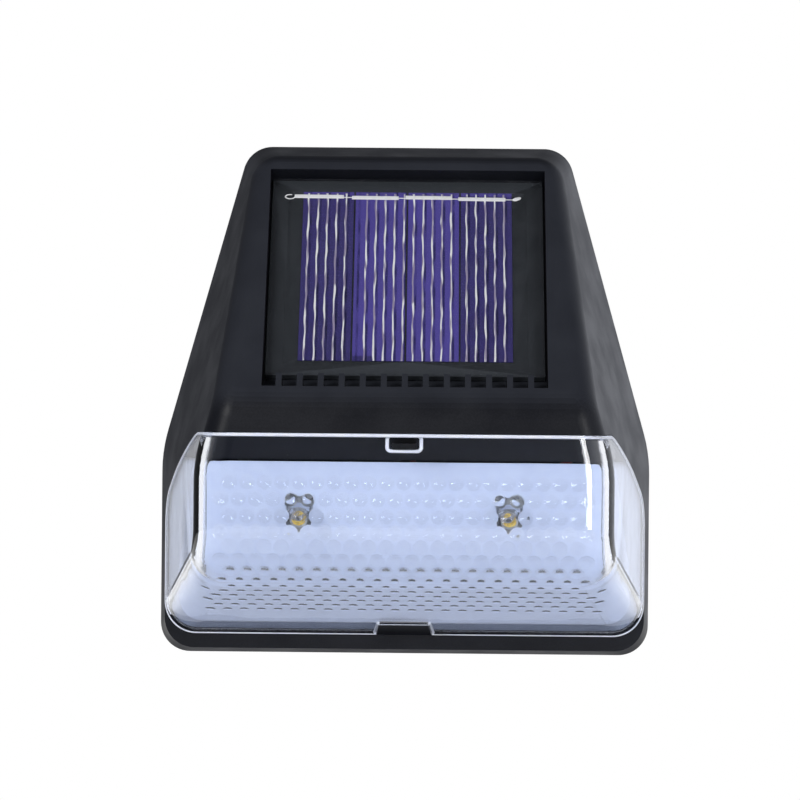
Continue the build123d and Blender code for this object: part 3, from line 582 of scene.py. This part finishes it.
def shaped(piece, wanted=None, kind="FACE"):
    """Goes into edit mode with only the wanted faces, edges or vertices selected."""
    only(piece)
    bpy.ops.object.mode_set(mode="EDIT")
    bpy.ops.mesh.select_mode(type=kind)
    bpy.ops.mesh.select_all(action="DESELECT")
    bpy.ops.object.mode_set(mode="OBJECT")
    mesh = piece.data
    parts = {"FACE": mesh.polygons, "EDGE": mesh.edges, "VERT": mesh.vertices}[kind]
    for part in parts:
        part.select = wanted is None or wanted(part)
    bpy.ops.object.mode_set(mode="EDIT")


def done(piece, name, material, smooth=30):
    """Leaves edit mode, and names, finishes and fastens the piece."""
    only(piece)
    bpy.ops.object.transform_apply(location=True, rotation=True, scale=True)
    piece.name = piece.data.name = name
    piece.data.materials.clear()
    piece.data.materials.append(material)
    bpy.ops.object.shade_smooth_by_angle(angle=radians(smooth))
    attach(piece, "light")
    print(name, len(piece.data.polygons), "faces")
    return piece


# %% [markdown]
# ## The bright edge of the lens
# Light that runs inside clear plastic comes out at its cut edges, so they glow. The renderer
# follows too few turns of that light, so that glow is painted: a thin pale bead is laid just
# inside the edge. Its path is picked from the lens itself: the sharp edges between its outer
# skin and its cut faces.

# %% Edge of the lens
WALL_FACE_BOTTOM = -49.8 * MM
LENS_WALL = 1.8 * MM
BEAD_RADIUS = 0.34 * MM
LOOP_BACK, LOOP_FOOT = -42.0 * MM, -10.0 * MM
SLOT_HALF, SLOT_LEVEL = 2.4 * MM, -8.4 * MM
SLOT_FRONT, SLOT_BACK = -44.9 * MM, -44.0 * MM


def copy_of(node, name):
    """A copy of a CAD node as one closed skin."""
    piece = bpy.data.objects.new(name, nodes[node].data.copy())
    bpy.context.scene.collection.objects.link(piece)
    shaped(piece)
    bpy.ops.mesh.remove_doubles(threshold=1e-6)
    bpy.ops.object.mode_set(mode="OBJECT")
    return piece


bead = copy_of("lens", "lens_edge")
skin = bmesh.new()
skin.from_mesh(bead.data)
hull = bmesh.new()
hull.from_mesh(bead.data)
bmesh.ops.convex_hull(hull, input=hull.verts)
around = BVHTree.FromBMesh(hull)


def on_outer_skin(face):
    """True for a face of the outer skin, which lies on the hull but looks neither up nor back."""
    near = around.find_nearest(face.calc_center_median())
    return near[3] < 0.05 * MM and face.normal.z < 0.4 and face.normal.y < 0.4


outer = {face.index for face in skin.faces if on_outer_skin(face)}
rim_edges = set()
for edge in skin.edges:
    if len(edge.link_faces) == 2 and edge.calc_face_angle() > radians(40):
        middle = (edge.verts[0].co + edge.verts[1].co) / 2
        sides = sum(face.index in outer for face in edge.link_faces)
        in_slot = abs(middle.x) < SLOT_HALF and SLOT_FRONT < middle.y < SLOT_BACK
        round_loop = abs(middle.y - LOOP_BACK) < 0.05 * MM and middle.z > LOOP_FOOT
        slot_back = abs(middle.x) < SLOT_HALF and abs(middle.z - SLOT_LEVEL) < 0.8 * MM
        if (sides == 1 and not slot_back and not in_slot) or (round_loop and not slot_back):
            rim_edges.add(edge.index)
skin.free()
hull.free()
print(len(outer), "outer faces,", len(rim_edges), "edges in the rim")

# %% Bead along the edge
shaped(bead, lambda edge: edge.index in rim_edges, "EDGE")
bpy.ops.transform.shrink_fatten(value=-1.15 * BEAD_RADIUS)
bpy.ops.mesh.select_all(action="INVERT")
bpy.ops.mesh.delete(type="EDGE_FACE")
bpy.ops.mesh.select_all(action="SELECT")
bpy.ops.mesh.delete_loose(use_verts=True, use_edges=False, use_faces=False)
bpy.ops.object.mode_set(mode="OBJECT")
only(bead)
bpy.ops.object.convert(target="CURVE")
bead.data.bevel_depth, bead.data.bevel_resolution = BEAD_RADIUS, 2
bead.data.use_fill_caps = True
bpy.ops.object.convert(target="MESH")
done(bead, "lens_edge", finishes["lens_edge"], 60)

# %% [markdown]
# ## The dimples
# Inside, the lens carries rows of small domes, each row moved by half a step, down the front,
# round the bend and along the foot. A bump map could fake them, but real domes bend the light,
# and each then shows its own small picture of the emitter behind. One dome is cut from a
# sphere, and its height is redrawn as a soft wave, because a plain cap shows a hard rim. It is
# then copied, and each copy is sunk a hair into the lens's inner face. From the end of the
# bend on, the domes are smaller.

# %% One dome
DOME_RIM = 1.45 * MM
DOME_RISE = 0.21 * MM
DOME_SUNK = 0.015 * MM
DOME_ROOT = 0.04 * MM
CAP_ANGLE = radians(18)
cap_radius = DOME_RIM / sin(CAP_ANGLE)

bpy.ops.object.select_all(action="DESELECT")
bpy.ops.mesh.primitive_uv_sphere_add(segments=10, ring_count=40, radius=cap_radius)
dome = bpy.context.object
dome.location.z = -cap_radius * cos(CAP_ANGLE)
bpy.ops.object.transform_apply(location=True)
shaped(dome, lambda point: point.co.z < -0.01 * MM, "VERT")
bpy.ops.mesh.delete(type="VERT")
bpy.ops.object.mode_set(mode="OBJECT")
for point in dome.data.vertices:
    away = min(hypot(point.co.x, point.co.y) / DOME_RIM, 1.0)
    point.co.z = DOME_RISE * (1 + cos(pi * away)) / 2 - DOME_SUNK
shaped(dome)
bpy.ops.mesh.select_mode(type="EDGE")
bpy.ops.mesh.select_all(action="DESELECT")
bpy.ops.mesh.select_non_manifold()
bpy.ops.mesh.extrude_region_move(TRANSFORM_OT_translate={"value": (0, 0, -DOME_ROOT)})
bpy.ops.mesh.edge_face_add()
bpy.ops.mesh.select_all(action="SELECT")
bpy.ops.mesh.normals_make_consistent(inside=False)
bpy.ops.object.mode_set(mode="OBJECT")
print("one dome:", len(dome.data.polygons), "faces")

# %% Where the domes sit
ROW_PITCH = 3.12 * MM
DOME_PITCH = 3.2 * MM
DOME_ROWS = 14
FIRST_ROW = WALL_FACE_BOTTOM + 34.7 * MM
BEND_CENTRE = (33.0 * MM, WALL_FACE_BOTTOM + 26.5 * MM)
BEND_RADIUS = 12.0 * MM
BEND_ANGLE = radians(70.65)
UPPER_COUNT, LOWER_COUNT, LONGER_FROM = 21, 23, 9
SMALLER_FROM, SMALL_SPREAD, SMALL_RISE = 7, 0.68, 0.55
straight = FIRST_ROW - BEND_CENTRE[1]


def on_lens(down):
    """Centre and lean of a dome this far down the outside of the lens."""
    angle = min(max((down - straight) / BEND_RADIUS, 0.0), BEND_ANGLE)
    inner = BEND_RADIUS - LENS_WALL
    out = BEND_CENTRE[0] + inner * cos(angle)
    level = BEND_CENTRE[1] - inner * sin(angle) + max(straight - down, 0.0)
    past = max(down - straight - BEND_RADIUS * BEND_ANGLE, 0.0)
    return out - past * sin(angle), level - past * cos(angle), angle


copies = []
for row in range(DOME_ROWS):
    out, level, angle = on_lens(row * ROW_PITCH)
    count = (UPPER_COUNT if row < LONGER_FROM else LOWER_COUNT) + row % 2
    spread, rise = (SMALL_SPREAD, SMALL_RISE) if row >= SMALLER_FROM else (1.0, 1.0)
    size = Matrix.Diagonal((spread, spread, rise, 1.0))
    lean = Matrix.Rotation(angle - pi / 2, 4, "X")
    for column in range(count):
        across = (column - (count - 1) / 2) * DOME_PITCH
        bump_copy = dome.copy()
        bump_copy.data = dome.data.copy()
        bump_copy.matrix_world = Matrix.Translation((across, -out, level)) @ lean @ size
        bpy.context.scene.collection.objects.link(bump_copy)
        copies.append(bump_copy)
bpy.data.objects.remove(dome)
bpy.context.view_layer.update()
only(copies[0])
for piece in copies:
    piece.select_set(True)
bpy.ops.object.join()
domes = bpy.context.object
print(len(copies), "domes in", DOME_ROWS, "rows")
done(domes, "lens_dimples", dimple_clear, 35)

# %% [markdown]
# ## Lines and strips on the panel
# Five silver lines run down each cell. They were printed by a soft screen, so they waver a
# little. Each is a flat ribbon: a fine grid is pushed sideways along a slow wave and then given
# its thickness. The collecting strip across the top is four soldered bars with a hook at one
# end and a pointed blob at the other.

# %% Frame of the slope
slope_frame = Matrix.Translation(SLOPE_TOP) @ (
    Matrix(((1, 0, 0), slope_up, slope_normal)).transposed().to_4x4()
)
CELL_TOP = -3.0 * MM
CELLS_END = -6.1 * MM
CELL_LENGTH = 39.55 * MM
LINE_WIDTH = 0.33 * MM
LINE_SHORT = 0.34 * MM
LINE_THICKNESS = 0.02 * MM
chance = random.Random(5)


def on_slope(piece):
    piece.matrix_world = slope_frame @ piece.matrix_world
    return piece


# %% Silver lines
lines = []
for cell in range(4):
    for line in range(5):
        x = CELLS_LEFT + cell * CELL_PITCH + LINE_START + line * LINE_PITCH
        x += TURNED_SHIFT if cell == TURNED_CELL else 0
        bpy.ops.object.select_all(action="DESELECT")
        bpy.ops.mesh.primitive_grid_add(x_subdivisions=1, y_subdivisions=72, size=1)
        ribbon = bpy.context.object
        ribbon.scale = (LINE_WIDTH, CELL_LENGTH - LINE_SHORT, 1)
        ribbon.location = (x, CELLS_END - LINE_SHORT / 2 - CELL_LENGTH / 2, CELL_TOP)
        bpy.ops.object.transform_apply(location=True, rotation=True, scale=True)
        start, stretch = chance.uniform(0, 2 * pi), chance.uniform(0.85, 1.2)
        for point in ribbon.data.vertices:
            down = (CELLS_END - point.co.y) / MM
            swing = start + down * stretch * 0.62
            wide = 1 + 0.2 * sin(swing * 1.3 + 1)
            sway = 0.055 * sin(swing) + 0.03 * sin(2.2 * swing)
            point.co.x = x + (point.co.x - x) * wide + sway * MM
        shaped(ribbon)
        bpy.ops.mesh.extrude_region_move(TRANSFORM_OT_translate={"value": (0, 0, LINE_THICKNESS)})
        bpy.ops.object.mode_set(mode="OBJECT")
        lines.append(ribbon)
only(lines[0])
for ribbon in lines:
    ribbon.select_set(True)
bpy.ops.object.join()
done(on_slope(bpy.context.object), "cell_lines", silver_lines)

# %% Soldered strips
STRIP_WIDTH = 0.85 * MM
STRIP_HEIGHT = 0.16 * MM
BARS = ((-17.0, 9.5, 1.15), (-6.2, 9.0, 1.37), (4.1, 9.0, 1.25), (14.3, 9.1, 1.53))


def bar(x, length, drop, width, height, round_off, lean=0.0):
    """A rounded bar that lies across the cells, this far below their upper ends."""
    bpy.ops.object.select_all(action="DESELECT")
    bpy.ops.mesh.primitive_cube_add(size=1)
    made = bpy.context.object
    made.scale = (length * MM, width, height)
    made.rotation_euler.z = lean
    made.location = (x * MM, CELLS_END - drop * MM, CELL_TOP + height / 2)
    bpy.ops.object.transform_apply(location=True, rotation=True, scale=True)
    shaped(made)
    bpy.ops.mesh.bevel(offset=round_off, segments=3)
    bpy.ops.object.mode_set(mode="OBJECT")
    return made


strips = [
    bar(x, length, drop, STRIP_WIDTH, STRIP_HEIGHT, 0.075 * MM, radians(-0.3))
    for x, length, drop in BARS
]
strips.append(bar(4.0, 32.5, 1.42, 0.2 * MM, 0.06 * MM, 0.02 * MM, radians(-0.5)))

# %% Hook and end blob
bpy.ops.object.select_all(action="DESELECT")
bpy.ops.mesh.primitive_torus_add(
    major_radius=0.72 * MM, minor_radius=0.13 * MM, major_segments=28, minor_segments=8
)
hook = bpy.context.object
hook.scale = (1.25, 0.72, 1)
hook.location = (-22.6 * MM, CELLS_END - 1.3 * MM, CELL_TOP + 0.13 * MM)
bpy.ops.object.transform_apply(location=True, rotation=True, scale=True)
gap_from = hook.data.vertices[0].co.x - 0.75 * MM
shaped(hook, lambda face: face.center.x > gap_from and face.center.y > CELLS_END - 1.35 * MM)
bpy.ops.mesh.delete(type="FACE")
bpy.ops.mesh.select_all(action="SELECT")
bpy.ops.mesh.fill_holes(sides=8)
bpy.ops.object.mode_set(mode="OBJECT")
strips.append(hook)

bpy.ops.mesh.primitive_uv_sphere_add(segments=16, ring_count=10, radius=0.5 * MM)
blob = bpy.context.object
blob.scale = (1.55, 0.82, 0.3)
blob.rotation_euler.z = radians(18)
blob.location = (20.9 * MM, CELLS_END - 1.42 * MM, CELL_TOP + 0.05 * MM)
bpy.ops.object.transform_apply(location=True, rotation=True, scale=True)
shaped(blob, lambda point: point.co.x > 21.3 * MM, "VERT")
bpy.ops.transform.translate(value=(0.22 * MM, 0.12 * MM, 0))
bpy.ops.object.mode_set(mode="OBJECT")
strips.append(blob)

only(strips[0])
for strip in strips:
    strip.select_set(True)
bpy.ops.object.join()
busbar = done(on_slope(bpy.context.object), "panel_strips", solder_bright)
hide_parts("panel_busbar")

# %% [markdown]
# ## Floor, background and light
# The light hangs on its wall, so the floor lies well below it and only its soft shadow is seen
# from above. The white behind it is the colour of the world as the camera and clear plastic
# see it. Rays that leave the lens again towards the camera would meet that white too and light
# the reflector too much, so they meet the dim studio instead, which is slightly blue. Glossy
# faces mirror a room that is brighter on the right. Two soft lamps, left and right, draw the
# two sheens down the sides.

# %% Floor
FLOOR_LEVEL = WALL_FACE_BOTTOM - 70 * MM
bpy.ops.object.select_all(action="DESELECT")
bpy.ops.mesh.primitive_circle_add(
    vertices=96, radius=0.9, fill_type="NGON", location=(0, 0, FLOOR_LEVEL)
)
floor = bpy.context.object
floor.name = "floor"
floor_finish = Finish("floor_pale")
from_middle = floor_finish.node(
    "ShaderNodeVectorMath", {"operation": "LENGTH"}, Vector=floor_finish.where
)
fade = floor_finish.steps(floor_finish.amount(from_middle, "Value"), 0.10, 0.30)
matt = floor_finish.surface(Base_Color=(0.86, 0.86, 0.87, 1), Roughness=0.9)
glow = floor_finish.node("ShaderNodeEmission", Color=(1, 1, 1, 1), Strength=1.0).outputs[0]
rays = floor_finish.node("ShaderNodeLightPath")
seen = floor_finish.amount(rays, "Is Camera Ray") + floor_finish.amount(rays, "Is Glossy Ray")
seen = (seen + floor_finish.amount(rays, "Is Transmission Ray")).at_most(1.0)
faded = floor_finish.node("ShaderNodeMixShader", Fac=fade * seen)
floor_finish.feed(faded.inputs[1], matt)
floor_finish.feed(faded.inputs[2], glow)
floor.data.materials.append(floor_finish.close(faded.outputs[0]))

# %% World
AMBIENT = 0.30
STUDIO_BLUE = (0.93, 0.96, 1.05, 1)
WHITE = (1, 1, 1, 1)
world = bpy.data.worlds.new("studio")
bpy.context.scene.world = world
world.use_nodes = True
tree = world.node_tree
tree.nodes.clear()
direction = tree.nodes.new("ShaderNodeSeparateXYZ")
tree.links.new(tree.nodes.new("ShaderNodeTexCoord").outputs["Generated"], direction.inputs[0])
x, y, z = (Amount(tree, direction.outputs[axis]) for axis in "XYZ")
rays = tree.nodes.new("ShaderNodeLightPath")
on_camera = Amount(tree, rays.outputs["Is Camera Ray"])
through = Amount(tree, rays.outputs["Is Transmission Ray"])
glossy = Amount(tree, rays.outputs["Is Glossy Ray"])
# Glossy faces mirror a room that brightens to the right, dims upwards and is darkest round the
# camera, with one faint patch above it that gives the slope its sheen.
at_camera = (0 - y).ramp(0.75, 1.0)
overhead = (z * 0.835 - y * 0.55).ramp(0.7, 0.97)
mirrored = (x * 0.84 + y * 0.24 - z.at_least(0.0) * 1.1 + 0.48).at_most(1.0).at_least(0.12)
mirrored = mirrored + overhead * 0.08 - at_camera * 0.16
# Rays that leave the lens on the camera's side see no more than the dim studio.
back_out = (0 - y).ramp(0.0, 0.35)
seen = (on_camera + through * (1 - back_out)).at_most(1.0)
strength = seen + (1 - seen) * (glossy * mirrored + (1 - glossy) * AMBIENT)
air = tree.nodes.new("ShaderNodeBackground")
daylight = tree.nodes.new("ShaderNodeMix")
daylight.data_type = "RGBA"
tree.links.new(seen.socket, daylight.inputs[0])
daylight.inputs[6].default_value = STUDIO_BLUE
daylight.inputs[7].default_value = WHITE
tree.links.new(daylight.outputs[2], air.inputs["Color"])
tree.links.new(strength.socket, air.inputs["Strength"])
tree.links.new(air.outputs[0], tree.nodes.new("ShaderNodeOutputWorld").inputs[0])
print("ambient light", AMBIENT)

# %% Lamps


def lamp(name, place, aim, size, power):
    """A square soft lamp that points at a spot."""
    data = bpy.data.lights.new(name, "AREA")
    data.size, data.energy = size, power
    made = bpy.data.objects.new(name, data)
    bpy.context.scene.collection.objects.link(made)
    made.location = place
    made.rotation_euler = (Vector(aim) - Vector(place)).to_track_quat("-Z", "Y").to_euler()
    return made


LAMP_AIM, LAMP_SIZE = (0, -0.02, 0), 0.17
lamp("lamp_left", (-0.377, -0.652, 0.202), LAMP_AIM, LAMP_SIZE, power=2.15)
lamp("lamp_right", (0.402, -0.668, 0.014), LAMP_AIM, LAMP_SIZE, power=1.5)
print("two lamps")

# %% [markdown]
# ## Finish
# The picture is shown through the plain Standard view transform.

# %% Finish
bpy.context.scene.view_settings.view_transform = "Standard"
